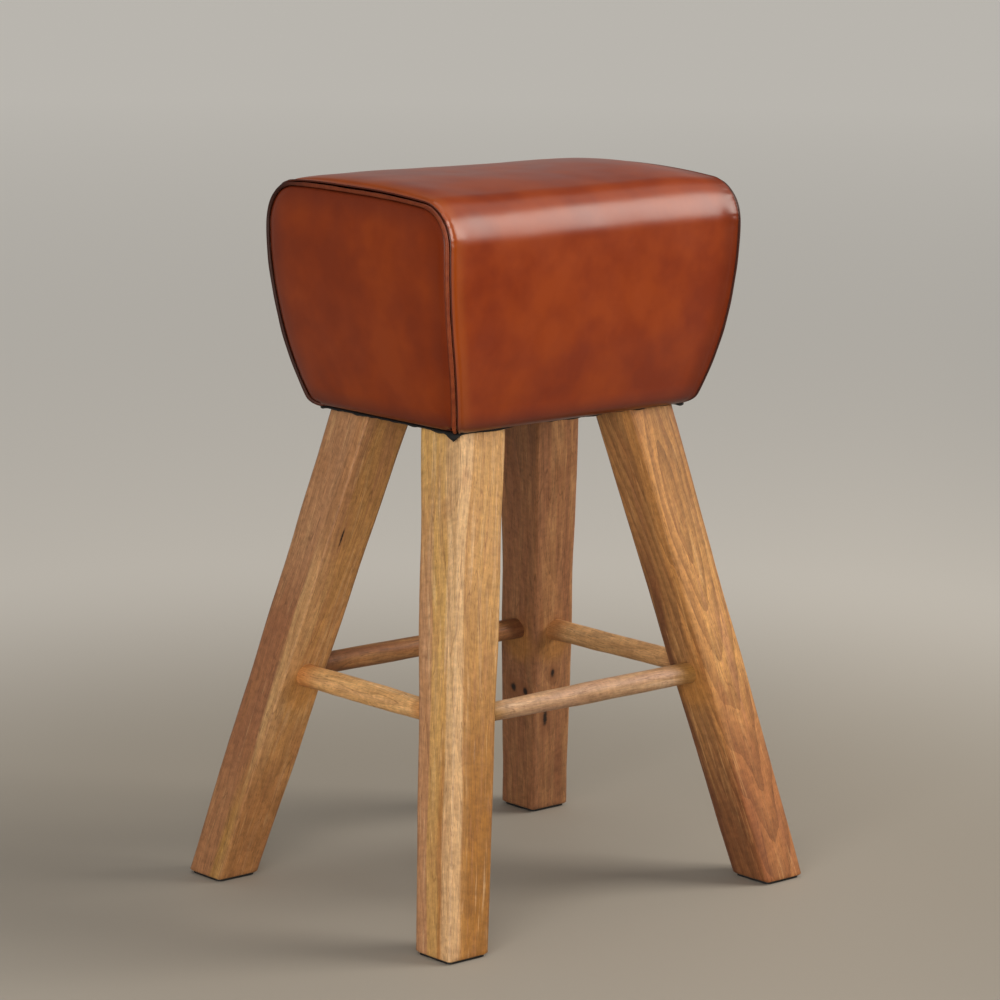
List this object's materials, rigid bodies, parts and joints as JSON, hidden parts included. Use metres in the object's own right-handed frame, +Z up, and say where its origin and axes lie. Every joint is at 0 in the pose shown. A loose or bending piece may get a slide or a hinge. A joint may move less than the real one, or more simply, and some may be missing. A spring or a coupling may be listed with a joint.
{
  "type": "bar stool",
  "caption": "Backless bar stool with a padded leather box seat in the shape of a vaulting horse, on splayed square wooden legs with round stretchers.",
  "frame": {"origin": "on the floor, under the middle of the seat", "axes": "+X along the seat's length, -Y towards the front, +Z up"},
  "size_m": [0.5054, 0.4268, 0.76],
  "materials": {
    "leather": "glossy burnished cognac hide",
    "piping": "dark edge-dyed hide",
    "foam": "open-cell upholstery foam",
    "plywood": "unfinished plywood",
    "zinc_steel": "zinc plated",
    "stretcher_wood": "oiled mango wood, shaved round",
    "leg_wood": "oiled mango wood, sanded",
    "foot_pad": "matt black",
    "dust_cover": "black spun-bonded cloth"
  },
  "bodies": {
    "root": {"leather_wrap_panel": "leather", "leather_end_panel_left": "leather", "leather_end_panel_right": "leather", "piping_left": "piping", "piping_right": "piping", "foam_top": "foam", "foam_front": "foam", "foam_rear": "foam", "foam_left": "foam", "foam_right": "foam", "base_board": "plywood", "top_board": "plywood", "front_board": "plywood", "rear_board": "plywood", "left_board": "plywood", "right_board": "plywood", "box_staples": "zinc_steel", "corner_blocks": "plywood", "hanger_bolts": "zinc_steel", "bolt_washers": "zinc_steel", "bolt_nuts": "zinc_steel", "stretcher_front": "stretcher_wood", "stretcher_rear": "stretcher_wood", "stretcher_left": "stretcher_wood", "stretcher_right": "stretcher_wood", "leg_front_left": "leg_wood", "leg_front_right": "leg_wood", "leg_rear_left": "leg_wood", "leg_rear_right": "leg_wood", "foot_pad_front_left": "foot_pad", "foot_pad_front_right": "foot_pad", "foot_pad_rear_left": "foot_pad", "foot_pad_rear_right": "foot_pad", "dust_cover": "dust_cover", "cover_staples": "zinc_steel"}
  },
  "joints": []
}
